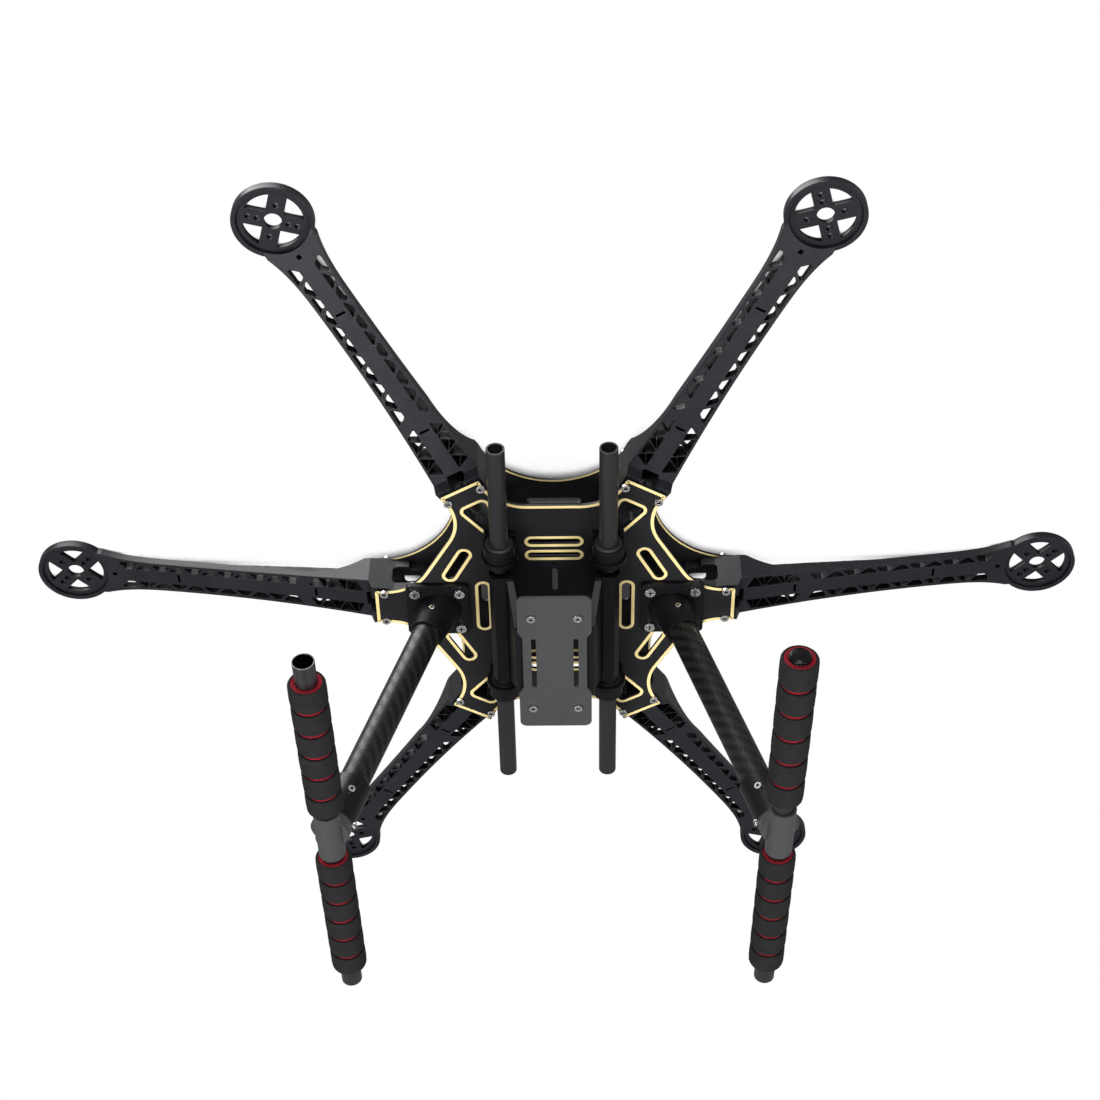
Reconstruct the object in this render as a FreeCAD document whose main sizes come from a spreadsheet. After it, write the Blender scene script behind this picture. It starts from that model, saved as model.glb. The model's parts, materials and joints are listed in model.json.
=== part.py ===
import FreeCAD, Part
import math
import os
import Sketcher
from FreeCAD import Placement, Rotation, Vector

# Hexacopter airframe: two circuit-board plates, six moulded arms, two splayed skid legs and a
# battery tray hung on two rails.  Millimetres, +Z up, origin on the ground under the hub axis,
# nose towards -Y.  Angles round the hub are counted from +X towards +Y.

DRIVING = [
    ("wheelbase", 550, "diameter of the circle through the motor axes"),
    ("plate_thickness", 1.6, "both circuit-board plates"),
    ("plate_gap", 24, "clear distance between the plates"),
    ("lower_plate_level", 172.2, "underside of the lower plate above the ground"),
    ("tab_reach", 100.6, "hub axis to the end of a plate tab"),
    ("tab_half_width", 12.2, "half the width of a lower plate tab"),
    ("lower_edge_reach", 75, "hub axis to the straight edge between lower tabs"),
    ("upper_edge_reach", 71, "hub axis to the hollow edge between upper tabs"),
    ("disc_rise", 30, "lower plate's top to the underside of a motor disc"),
    ("disc_radius", 21, "motor disc"),
    ("disc_thickness", 3, "motor disc above its recessed underside"),
    ("rail_spacing", 59, "centre to centre of the rails"),
    ("rail_outer", 10, "rail outside diameter"),
    ("rail_inner", 8, "rail bore"),
    ("rail_length", 250, "rail length"),
    ("rail_drop", 11.4, "lower plate's underside to the rail axis"),
    ("hanger_reach", 52, "hub axis to a hanger along the rail"),
    ("hanger_width", 11, "length of a hanger along the rail"),
    ("hanger_outer", 20, "hanger ring outside diameter"),
    ("tray_level", 126.8, "underside of the hanging plate above the ground"),
    ("tray_length", 100, "hanging plate along the rails"),
    ("tray_width", 40, "hanging plate across the rails"),
    ("tray_thickness", 1.6, "hanging plate"),
    ("bracket_length", 80, "tray bracket along the rail"),
    ("leg_top_reach", 65.5, "hub axis to the leg axis at the socket"),
    ("leg_lean", 17.05, "degrees the legs lean outwards from upright"),
    ("toe_out", 1.0, "degrees the skids' noses point outwards"),
    ("leg_top_level", 168.8, "leg axis at the socket above the ground"),
    ("leg_outer", 16, "leg tube outside diameter"),
    ("leg_inner", 14, "leg tube bore"),
    ("socket_base", 25, "leg socket diameter at its flange"),
    ("socket_mouth", 19, "leg socket diameter at its mouth"),
    ("socket_depth", 19, "leg socket below its flange along the leg"),
    ("tee_outer", 14, "tee barrel outside diameter"),
    ("tee_length", 32, "tee barrel along the skid"),
    ("skid_outer", 11, "skid tube outside diameter"),
    ("skid_inner", 10, "skid tube bore"),
    ("skid_length", 246, "skid tube length"),
    ("foam_outer", 18.6, "foam sleeve outside diameter"),
    ("foam_core", 15.4, "inner foam layer outside diameter"),
    ("foam_length", 90, "foam sleeve length"),
    ("long_foam_length", 98.4, "foam sleeve length at the capped end of the right skid"),
    ("foam_gap", 2.4, "width of a groove between two outer foam bands"),
    ("fit_gap", 0.05, "radial clearance of a sliding or clamped tube"),
]

SECTORS = 6
FOAM_BANDS = 6

doc = FreeCAD.newDocument("hexacopter_frame")
sheet = doc.addObject("Spreadsheet::Sheet", "sizes")
for line, (alias, value, meaning) in enumerate(DRIVING, start=1):
    sheet.set(f"A{line}", meaning)
    sheet.set(f"B{line}", str(value))
    sheet.setAlias(f"B{line}", alias)
doc.recompute()


def size(alias):
    """Value of one driving dimension."""
    return float(sheet.get(alias))


nodes = []


# ---------------------------------------------------------------- sketch outlines

def polar(radius, degrees):
    """Point at a radius and an angle."""
    return (radius * math.cos(math.radians(degrees)), radius * math.sin(math.radians(degrees)))


def turned(points, degrees):
    """Points turned round the origin."""
    cosine = math.cos(math.radians(degrees))
    sine = math.sin(math.radians(degrees))
    return [(x * cosine - y * sine, x * sine + y * cosine) for x, y in points]


def rounded(points, radii):
    """Closed polygon whose corners are rounded; radii is one number or one per corner."""
    count = len(points)
    if not isinstance(radii, (list, tuple)):
        radii = [radii] * count
    corners = []
    for index in range(count):
        here = Vector(*points[index], 0)
        before = Vector(*points[index - 1], 0).sub(here).normalize()
        after = Vector(*points[(index + 1) % count], 0).sub(here).normalize()
        if radii[index] == 0:
            corners.append((here, here, here))
            continue
        half = before.getAngle(after) / 2
        reach = radii[index] / math.tan(half)
        middle = before.add(after).normalize()
        middle = middle * (radii[index] / math.sin(half) - radii[index])
        corners.append((here.add(before * reach), here.add(middle), here.add(after * reach)))
    shapes = []
    for index in range(count):
        start, middle, end = corners[index]
        if start != end:
            shapes.append(Part.Arc(start, middle, end))
        following = corners[(index + 1) % count][0]
        if end.distanceToPoint(following) > 1e-6:
            shapes.append(Part.LineSegment(end, following))
    return shapes


def slot(centre, half_length, half_width, degrees=0):
    """Slot with round ends; half_length reaches to the end of the slot."""
    straight = half_length - half_width
    corners = [(straight, -half_width), (straight, half_width),
               (-straight, half_width), (-straight, -half_width)]
    ends = turned([(half_length, 0), (-half_length, 0)], degrees)
    corners = turned(corners, degrees)
    place = [Vector(x + centre[0], y + centre[1], 0) for x, y in corners + ends]
    return [
        Part.Arc(place[0], place[4], place[1]),
        Part.LineSegment(place[1], place[2]),
        Part.Arc(place[2], place[5], place[3]),
        Part.LineSegment(place[3], place[0]),
    ]


def circle(x, y, radius):
    """Circle in a sketch."""
    return Part.Circle(Vector(x, y, 0), Vector(0, 0, 1), radius)


def rectangle(x_low, y_low, x_high, y_high, radius=0):
    """Upright rectangle, with rounded corners if asked."""
    return rounded([(x_low, y_low), (x_high, y_low), (x_high, y_high), (x_low, y_high)], radius)


def flatten(lists):
    """One list out of several."""
    return [item for part in lists for item in part]


# ---------------------------------------------------------------- feature helpers

def new_body(label):
    """Empty PartDesign body that becomes one node."""
    body = doc.addObject("PartDesign::Body", label)
    body.Label = label
    nodes.append(body)
    return body


def sketch_on(body, name, shapes, role="XY_Plane", offset=0):
    """Sketch attached to one of the body's own origin planes."""
    sketch = body.newObject("Sketcher::SketchObject", body.Label + "_" + name)
    plane = next(item for item in body.Origin.OriginFeatures if item.Role == role)
    sketch.AttachmentSupport = [(plane, "")]
    sketch.MapMode = "FlatFace"
    sketch.AttachmentOffset = Placement(Vector(0, 0, offset), Rotation())
    for shape in shapes:
        sketch.addGeometry(shape, False)
    return sketch


def bind(target, prop, expression):
    """Binds one property to a formula of driving dimensions, or sets a plain number."""
    if isinstance(expression, str):
        target.setExpression(prop, expression)
    else:
        setattr(target, prop, expression)


def pad(body, name, shapes, length, role="XY_Plane", offset=0, both_ways=False):
    """Pad of a sketch; length is a number or a formula."""
    sketch = sketch_on(body, name + "_sketch", shapes, role, offset)
    feature = body.newObject("PartDesign::Pad", body.Label + "_" + name)
    feature.Profile = sketch
    bind(feature, "Length", length)
    if both_ways:
        feature.SideType = "Symmetric"
    return feature


def pocket(body, name, shapes, depth=None, role="XY_Plane", offset=0, upward=True):
    """Pocket of a sketch, through everything on both sides or to a depth one way."""
    sketch = sketch_on(body, name + "_sketch", shapes, role, offset)
    feature = body.newObject("PartDesign::Pocket", body.Label + "_" + name)
    feature.Profile = sketch
    if depth is None:
        feature.SideType = "Symmetric"
        feature.Type = "ThroughAll"
    else:
        bind(feature, "Length", depth)
        feature.Reversed = upward
    return feature


def revolve(body, name, points):
    """Revolution about the body's Z axis of a polygon given as (radius, height) points."""
    sketch = sketch_on(body, name + "_sketch", rounded(points, 0), "XZ_Plane")
    feature = body.newObject("PartDesign::Revolution", body.Label + "_" + name)
    feature.Profile = sketch
    feature.ReferenceAxis = (sketch, ["V_Axis"])
    feature.Angle = 360
    return feature


def tube(label, outer, inner, length, start=0.0):
    """Round tube along the body's Z axis, bound to the sheet, from start upwards."""
    body = new_body(label)
    sketch = sketch_on(body, "ring", [circle(0, 0, 5), circle(0, 0, 4)], offset=start)
    sketch.addConstraint(Sketcher.Constraint("Coincident", 0, 3, -1, 1))
    sketch.addConstraint(Sketcher.Constraint("Coincident", 1, 3, -1, 1))
    outside = sketch.addConstraint(Sketcher.Constraint("Diameter", 0, 10))
    inside = sketch.addConstraint(Sketcher.Constraint("Diameter", 1, 8))
    sketch.setExpression(f"Constraints[{outside}]", outer)
    sketch.setExpression(f"Constraints[{inside}]", inner)
    feature = body.newObject("PartDesign::Pad", label + "_tube")
    feature.Profile = sketch
    bind(feature, "Length", length)
    return body


def group(label, shapes):
    """Repeated small pieces that share one node, each a solid of its own."""
    feature = doc.addObject("Part::Feature", label)
    feature.Label = label
    feature.Shape = Part.makeCompound(shapes)
    nodes.append(feature)
    return feature


def cylinder(radius, length, base, axis):
    """Plain cylinder solid for the small pieces."""
    return Part.makeCylinder(radius, length, base, axis)


# ---------------------------------------------------------------- levels worked out once

lower_level = size("lower_plate_level")
lower_top = lower_level + size("plate_thickness")
upper_level = lower_top + size("plate_gap")
upper_top = upper_level + size("plate_thickness")
motor_reach = size("wheelbase") / 2
rail_x = size("rail_spacing") / 2
rail_level = lower_level - size("rail_drop")
hanger_y = size("hanger_reach")
lean = size("leg_lean")
toe = size("toe_out")
FOAM_START = 19.0
foam_end = FOAM_START + size("foam_length")
foam_end_rise = foam_end * math.sin(math.radians(toe)) * math.sin(math.radians(lean))
skid_level = size("foam_outer") / 2 + foam_end_rise
leg_span = (size("leg_top_level") - skid_level) / math.cos(math.radians(lean))
leg_foot_reach = size("leg_top_reach") + leg_span * math.sin(math.radians(lean))
tray_top = size("tray_level") + size("tray_thickness")

# Screws: shank radius, head radius, head height.
SMALL_SCREW = (1.25, 2.3, 1.5)
SOCKET_SCREW = (1.45, 2.9, 2.0)

TAB_SCREW_REACH = 95.4
TAB_SCREW_SIDE = 10.3
INNER_SCREW_REACH = 85.0
ARM_ROOT_REACH = 70.0
SCREW_HOLE_GAP = 0.1


# ---------------------------------------------------------------- plates

def lower_outline():
    """Lower plate's edge: six tabs with straight edges and round hollows between them."""
    edge = size("lower_edge_reach")
    side = size("tab_half_width")
    hollow_reach = (edge - side * math.sin(math.radians(30))) / math.cos(math.radians(30))
    tab = [(hollow_reach, -side), (size("tab_reach"), -side), (size("tab_reach"), side), (hollow_reach, side)]
    points = flatten(turned(tab, 60 * sector) for sector in range(SECTORS))
    return rounded(points, [26, 1, 1, 26] * SECTORS)


def upper_outline():
    """Upper plate's edge: six tabs joined by wide round hollows."""
    side = size("tab_half_width")
    reach = size("tab_reach")
    shapes = []
    for sector in range(SECTORS):
        start, end = turned([(reach, -side), (reach, side)], 60 * sector)
        following = turned([(reach, -side)], 60 * sector + 60)[0]
        middle = polar(size("upper_edge_reach"), 60 * sector + 30)
        shapes.append(Part.LineSegment(Vector(*start, 0), Vector(*end, 0)))
        shapes.append(Part.Arc(Vector(*end, 0), Vector(*middle, 0), Vector(*following, 0)))
    return shapes


def tab_windows(angles, inner, outer, inner_half, outer_half):
    """Rounded windows in the plate tabs, narrower towards the hub."""
    shape = [(inner, -inner_half), (outer, -outer_half), (outer, outer_half), (inner, inner_half)]
    return flatten(rounded(turned(shape, angle), 2.4) for angle in angles)


def tab_screw_points(reach):
    """Both screw positions on each of the six tabs."""
    return flatten(
        turned([(reach, -TAB_SCREW_SIDE), (reach, TAB_SCREW_SIDE)], 60 * sector) for sector in range(SECTORS)
    )


def mirrored_four(x, y):
    """A point and its three mirror images."""
    return [(x, y), (-x, y), (-x, -y), (x, -y)]


def hanger_screw_points():
    """Two screws beside each hanger ring."""
    side = HANGER_SCREW_SIDE
    return [(x + step, y) for x, y in mirrored_four(rail_x, hanger_y) for step in (-side, side)]


def socket_screw_points():
    """Four screws round each leg socket."""
    middle = size("leg_top_reach")
    return flatten(mirrored_four(middle + step, SOCKET_SCREW_Y) for step in (-SOCKET_SCREW_X, SOCKET_SCREW_X))


WIDE_SLOT_HALF = 2.6
CROSS_SLOT_HALF = 1.9
MIDDLE_SLOT_HALF = 1.7
SIDE_SLOT_REACH = 40.0
CROSS_SLOT_REACHES = (38.9, 48.9)
MIDDLE_SLOT_REACH = 19.8
PEG_HOLE_REACH = 32.0
SLANTED_SLOT = (53.8, 31.5)
HANGER_SCREW_SIDE = 5.5
SOCKET_SCREW_X = 12.5
SOCKET_SCREW_Y = 13.5


def make_lower_plate():
    """Lower circuit-board plate."""
    body = new_body("lower_plate")
    pad(body, "board", lower_outline(), "sizes.plate_thickness")
    openings = tab_windows((60, 120, 240, 300), 67.0, 87.0, 3.6, 7.4)
    for x in (-SIDE_SLOT_REACH, SIDE_SLOT_REACH):
        openings += slot((x, 0), 17.2, WIDE_SLOT_HALF, 90)
    for end in (-1, 1):
        for reach in CROSS_SLOT_REACHES:
            openings += slot((0, end * reach), 14.3, CROSS_SLOT_HALF)
        openings += slot((0, end * MIDDLE_SLOT_REACH), 8.8, MIDDLE_SLOT_HALF, 90)
        openings.append(circle(0, end * PEG_HOLE_REACH, 1.3))
    for x, y in mirrored_four(*SLANTED_SLOT):
        openings += slot((x, y), 11.5, WIDE_SLOT_HALF, 62 if x * y < 0 else -62)
    pocket(body, "openings", openings)
    hole = SMALL_SCREW[0] + SCREW_HOLE_GAP
    holes = [circle(x, y, hole) for x, y in tab_screw_points(TAB_SCREW_REACH) + hanger_screw_points()]
    socket_hole = SOCKET_SCREW[0] + SCREW_HOLE_GAP
    holes += [circle(x, y, socket_hole) for x, y in socket_screw_points()]
    pocket(body, "screw_holes", holes)
    body.setExpression(".Placement.Base.z", "sizes.lower_plate_level")


def make_upper_plate():
    """Upper circuit-board plate."""
    body = new_body("upper_plate")
    pad(body, "board", upper_outline(), "sizes.plate_thickness")
    openings = tab_windows(range(0, 360, 60), 70.0, 86.0, 4.4, 6.2)
    for y in (-56.0, -13.4, 56.0):
        openings += slot((0, y), 15.0, CROSS_SLOT_HALF)
    openings += slot((0, 5.0), 9.8, MIDDLE_SLOT_HALF, 90)
    for x, y in mirrored_four(SIDE_SLOT_REACH, 13.5):
        openings += slot((x, y), 7.5, WIDE_SLOT_HALF, 90)
    pocket(body, "openings", openings)
    hole = SMALL_SCREW[0] + SCREW_HOLE_GAP
    points = tab_screw_points(TAB_SCREW_REACH) + tab_screw_points(INNER_SCREW_REACH)
    pocket(body, "screw_holes", [circle(x, y, hole) for x, y in points])
    level = "sizes.lower_plate_level + sizes.plate_thickness + sizes.plate_gap"
    body.setExpression(".Placement.Base.z", level)


# ---------------------------------------------------------------- arms

ARM_NAMES = {
    0: "arm_right",
    60: "arm_rear_right",
    120: "arm_rear_left",
    180: "arm_left",
    240: "arm_front_left",
    300: "arm_front_right",
}

ROOT_HALF_WIDTH = 12.4
ROOT_TIP_HALF_WIDTH = 9.8
SHOULDER_REACH = 104.5
NECK_REACH = 255.5
SLIM_REACH = 205.0
SLIM_HALF_WIDTH = 10.3
SHOULDER_SPREAD = 3.6
NECK_SPREAD = 6.2
NECK_INSET = 13.0
RIM_HEIGHT = 4.6
SPINE_BASE_HALF = 4.2
SPINE_CREST_HALF = 4.8
SQUARE_HOLE_REACH = 252.0
WIRE_SLOT_REACHES = (135.3, 214.7)
MARK_DEPTH = 3.0
SPOKE_HALF = 4.7
DISC_LIP = 1.6
WINDOW_OUTER = 15.8


def arm_underside(reach):
    """Height of the arm's underside above the lower plate's top, outside the plate."""
    share = (reach - SHOULDER_REACH) / (NECK_REACH - SHOULDER_REACH)
    return 5.6 + 27.0 * share - 5.0 * share * share


def arm_half_width(reach):
    """Half the arm's width: wide at the shoulder, slim beyond the middle, flared into the disc."""
    if reach < SLIM_REACH:
        return SLIM_HALF_WIDTH + SHOULDER_SPREAD * ((SLIM_REACH - reach) / (SLIM_REACH - SHOULDER_REACH)) ** 2
    flare_length = motor_reach - NECK_INSET - SLIM_REACH
    return SLIM_HALF_WIDTH + NECK_SPREAD * ((reach - SLIM_REACH) / flare_length) ** 4


def spline_points(function, low, high, count):
    """Points of a smooth curve through a formula."""
    step = (high - low) / (count - 1)
    return [Vector(low + step * index, function(low + step * index), 0) for index in range(count)]


def curve(points):
    """Smooth curve through points."""
    spline = Part.BSplineCurve()
    spline.interpolate(points)
    return spline


def chain(points):
    """Straight lines through points."""
    return [Part.LineSegment(points[index], points[index + 1]) for index in range(len(points) - 1)]


def flange_profile(neck_end):
    """Side view of the arm's low flange: flat foot, shoulder, then a thin rising strip."""
    gap = size("plate_gap")
    low = spline_points(arm_underside, SHOULDER_REACH, neck_end, 7)
    rim = arm_underside(neck_end) + RIM_HEIGHT
    high_start = Vector(150, arm_underside(150) + RIM_HEIGHT, 0)
    high = [high_start] + [
        Vector(reach, arm_underside(reach) + RIM_HEIGHT, 0) for reach in (172, 200, 228)
    ] + [Vector(neck_end, rim, 0)]
    shoulder = Part.Arc(Vector(108, gap, 0), Vector(121, 17.4, 0), high_start)
    root = [Vector(108, gap, 0), Vector(ARM_ROOT_REACH, gap, 0), Vector(ARM_ROOT_REACH, 0, 0),
            Vector(SHOULDER_REACH - 2, 0, 0), low[0]]
    return chain(root) + [curve(low)] + chain([low[-1], high[-1]]) + [curve(high), shoulder]


def arm_outline(neck_end):
    """Plan view of the arm from the root block to the neck."""
    edge = spline_points(arm_half_width, SHOULDER_REACH, neck_end, 9)
    mirror = [Vector(point.x, -point.y, 0) for point in edge]
    side = [Vector(90, ROOT_HALF_WIDTH, 0), Vector(82.4, ROOT_HALF_WIDTH, 0),
            Vector(81.4, ROOT_TIP_HALF_WIDTH, 0), Vector(ARM_ROOT_REACH + 4, ROOT_TIP_HALF_WIDTH, 0),
            Vector(ARM_ROOT_REACH, 7, 0)]
    other_side = [Vector(point.x, -point.y, 0) for point in reversed(side)]
    root = [edge[0]] + side + other_side + [mirror[0]]
    return [curve(edge), curve(mirror)] + chain(root) + chain([edge[-1], mirror[-1]])


def lattice_windows(start, stop, count):
    """Zigzag of triangular windows on both sides of the spine between two reaches."""
    pitch = (stop - start) / count
    inner = SPINE_BASE_HALF + 0.5
    rib = 1.1
    shapes = []
    for index in range(count):
        low = start + pitch * index
        middle = low + pitch / 2
        outer = arm_half_width(middle) - 1.6
        large = [(middle - 0.34 * pitch, outer), (middle + 0.34 * pitch, outer),
                 (middle + 0.10 * pitch, inner), (middle - 0.10 * pitch, inner)]
        shapes += rounded(large, 1.0) + rounded([(x, -y) for x, y in large], 1.0)
        if index < count - 1:
            small_outer = arm_half_width(low + pitch) - 1.8
            small = [(low + pitch - 0.36 * pitch + rib, inner), (low + pitch + 0.36 * pitch - rib, inner),
                     (low + pitch + 0.05 * pitch, small_outer), (low + pitch - 0.05 * pitch, small_outer)]
            shapes += rounded(small, 0.5) + rounded([(x, -y) for x, y in small], 0.5)
    return shapes


def shoulder_windows():
    """Zigzag of triangular windows beside the spine near the root."""
    inner = SPINE_BASE_HALF + 0.5
    start = 107.6
    step = 5.6
    base = 9.0
    shapes = []
    for index in range(5):
        low = start + step * index
        outer = arm_half_width(low + base / 2) - 1.3
        near, far = (outer, inner) if index % 2 else (inner, outer)
        cell = [(low, near), (low + base, near), (low + base / 2 + 0.7, far), (low + base / 2 - 0.7, far)]
        shapes += rounded(cell, 0.6) + rounded([(x, -y) for x, y in cell], 0.6)
    return shapes


def disc_windows():
    """Four rounded sector windows of the motor disc, between diagonal spokes."""
    tip = SPOKE_HALF * math.sqrt(2)
    half = math.degrees(math.asin(SPOKE_HALF / WINDOW_OUTER))
    shapes = []
    for quarter in range(4):
        first = polar(WINDOW_OUTER, 90 * quarter - 45 + half)
        last = polar(WINDOW_OUTER, 90 * quarter + 45 - half)
        middle = polar(WINDOW_OUTER, 90 * quarter)
        point = polar(tip, 90 * quarter)
        places = [Vector(x + motor_reach, y, 0) for x, y in (point, first, middle, last)]
        shapes += [Part.LineSegment(places[0], places[1]), Part.Arc(places[1], places[2], places[3]),
                   Part.LineSegment(places[3], places[0])]
    return shapes


def spine_section(reach, base, crest):
    """Cross-section of the spine, which widens slightly towards its crest."""
    corners = [(-SPINE_BASE_HALF, base), (SPINE_BASE_HALF, base),
               (SPINE_CREST_HALF, crest), (-SPINE_CREST_HALF, crest)]
    return reach, rounded(corners, 0)


def make_first_arm(label):
    """The moulded arm that points along +X; the others are copies of it."""
    body = new_body(label)
    gap = size("plate_gap")
    disc_low = size("disc_rise")
    disc_top = disc_low + size("disc_thickness")
    neck_end = motor_reach - NECK_INSET
    pad(body, "flange", flange_profile(neck_end), 30, "XZ_Plane", both_ways=True)
    outside = rectangle(ARM_ROOT_REACH - 20, -40, neck_end + 20, 40) + arm_outline(neck_end)
    pocket(body, "plan", outside)
    stations = [
        spine_section(ARM_ROOT_REACH + 34, 8.0, gap),
        spine_section(150.0, arm_underside(150) + 0.5, gap + 3.0),
        spine_section(200.0, arm_underside(200) + 0.5, gap + 5.8),
        spine_section(neck_end, arm_underside(neck_end) + 0.5, disc_top),
    ]
    loft = body.newObject("PartDesign::AdditiveLoft", label + "_spine")
    sketches = [sketch_on(body, f"spine_{index}", shape, "YZ_Plane", reach)
                for index, (reach, shape) in enumerate(stations)]
    loft.Profile = sketches[0]
    loft.Sections = sketches[1:]
    lip_low = disc_low - DISC_LIP
    pad(body, "disc", [circle(motor_reach, 0, size("disc_radius"))], disc_top - lip_low, offset=lip_low)
    recess = size("disc_radius") - 2.4
    clear = 2.0
    pocket(body, "disc_recess", [circle(motor_reach, 0, recess)], DISC_LIP + clear, offset=lip_low - clear)
    pocket(body, "disc_windows", disc_windows() + [circle(motor_reach, 0, 4.6)])
    motor_holes = [polar(8.0, -45), polar(8.0, 135), polar(12.5, -45), polar(12.5, 135)]
    motor_holes += [polar(9.5, 45), polar(9.5, 225)]
    pocket(body, "motor_holes", [circle(x + motor_reach, y, 1.6) for x, y in motor_holes])
    pocket(body, "lattice", lattice_windows(139.5, 252.5, 6))
    pocket(body, "shoulder_windows", shoulder_windows())
    marks = [(reach, 0.7, 2.9) for reach in WIRE_SLOT_REACHES] + [(SQUARE_HOLE_REACH, 1.2, 1.2)]
    for index, (reach, along, across) in enumerate(marks):
        mark = rectangle(reach - along, -across, reach + along, across)
        pocket(body, f"mark_{index}", mark, MARK_DEPTH + arm_underside(reach))
    pocket(body, "root_cavity", rectangle(ARM_ROOT_REACH + 5, -5.5, 98.5, 5.5, 2))
    pocket(body, "root_notch", rectangle(98.0, -5.0, SHOULDER_REACH + 1.5, 5.0, 1), gap - 6)
    pocket(body, "root_arch", rectangle(ARM_ROOT_REACH + 5, 5, TAB_SCREW_REACH - 4, 18, 3), None, "XZ_Plane")
    sides = (-TAB_SCREW_SIDE, TAB_SCREW_SIDE)
    low_holes = [circle(TAB_SCREW_REACH, side, SMALL_SCREW[0] + 0.05) for side in sides]
    pocket(body, "lower_screw_holes", low_holes, 9.0)
    top_holes = [circle(reach, side, SMALL_SCREW[0] + 0.05)
                 for reach in (TAB_SCREW_REACH, INNER_SCREW_REACH) for side in sides]
    pocket(body, "upper_screw_holes", top_holes, 5.5, offset=gap, upward=False)
    place_arm(body, 0)
    return body


def make_arm_copy(label, first, angle):
    """One more arm with the first arm as its base feature, turned round the hub."""
    body = new_body(label)
    body.BaseFeature = first
    place_arm(body, angle)


def place_arm(body, angle):
    """Sets an arm on the lower plate at its angle round the hub."""
    body.Placement = Placement(Vector(0, 0, lower_top), Rotation(Vector(0, 0, 1), angle))
    body.setExpression(".Placement.Base.z", "sizes.lower_plate_level + sizes.plate_thickness")


# ---------------------------------------------------------------- screws

def screw(point, head_level, direction, shank_length, form, recess="hex"):
    """Screw with its head seated at head_level; direction +1 drives upwards, -1 downwards."""
    shank, head, height = form
    base = Vector(point[0], point[1], head_level)
    drive = Vector(0, 0, direction)
    body = cylinder(shank, shank_length, base, drive).fuse(cylinder(head, height, base, drive * -1))
    top = base.sub(drive * height)
    if recess == "hex":
        corners = [Vector(*polar(1.15, 60 * corner), 0).add(top) for corner in range(7)]
        cutter = Part.Face(Part.makePolygon(corners)).extrude(drive * 0.9)
        return body.removeSplitter().cut(cutter)
    bars = [Part.makeBox(3.4, 0.8, 1.0), Part.makeBox(0.8, 3.4, 1.0)]
    for bar, (x, y) in zip(bars, ((1.7, 0.4), (0.4, 1.7))):
        low = top.z if direction > 0 else top.z - 1.0
        bar.translate(Vector(point[0] - x, point[1] - y, low))
        body = body.cut(bar)
    return body.removeSplitter()


def nut(point, seat, form):
    """Hexagon nut standing on a level, round a screw of the given form."""
    corners = [Vector(*polar(2.8, 60 * corner + 30), 0).add(Vector(*point, seat)) for corner in range(7)]
    block = Part.Face(Part.makePolygon(corners)).extrude(Vector(0, 0, 2.0))
    return block.cut(cylinder(form[0] + 0.05, 2.0, Vector(*point, seat), Vector(0, 0, 1)))


def make_plate_screws():
    """Button-head screws that hold the arms between the plates."""
    lower = [screw(point, lower_level, 1, 8.5, SMALL_SCREW) for point in tab_screw_points(TAB_SCREW_REACH)]
    group("arm_screws_lower", lower)
    points = tab_screw_points(TAB_SCREW_REACH) + tab_screw_points(INNER_SCREW_REACH)
    group("arm_screws_upper", [screw(point, upper_top, -1, 6.0, SMALL_SCREW) for point in points])


# ---------------------------------------------------------------- legs

FLANGE_THICKNESS = 3.0
SET_SCREW_DEPTH = 9.0
TEE_SLEEVE_RADIUS = 10.2
TEE_SLEEVE_END = 32.0
TEE_SEAT = 8.3


def leg_frame(side):
    """Placement whose origin is the skid axis and whose Z runs up the leg; side is -1 or +1."""
    leaning = Rotation(Vector(0, 1, 0), -side * lean)
    toed = Rotation(Vector(0, 0, 1), side * toe)
    return Placement(Vector(side * leg_foot_reach, 0, skid_level), leaning.multiply(toed))


def skid_frame(side, start):
    """Placement whose Z runs backwards along a skid, starting so far behind the leg."""
    return leg_frame(side).multiply(Placement(Vector(0, start, 0), Rotation(Vector(1, 0, 0), -90)))


def side_name(side):
    """Left is -X and right is +X."""
    return "left" if side < 0 else "right"


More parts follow.
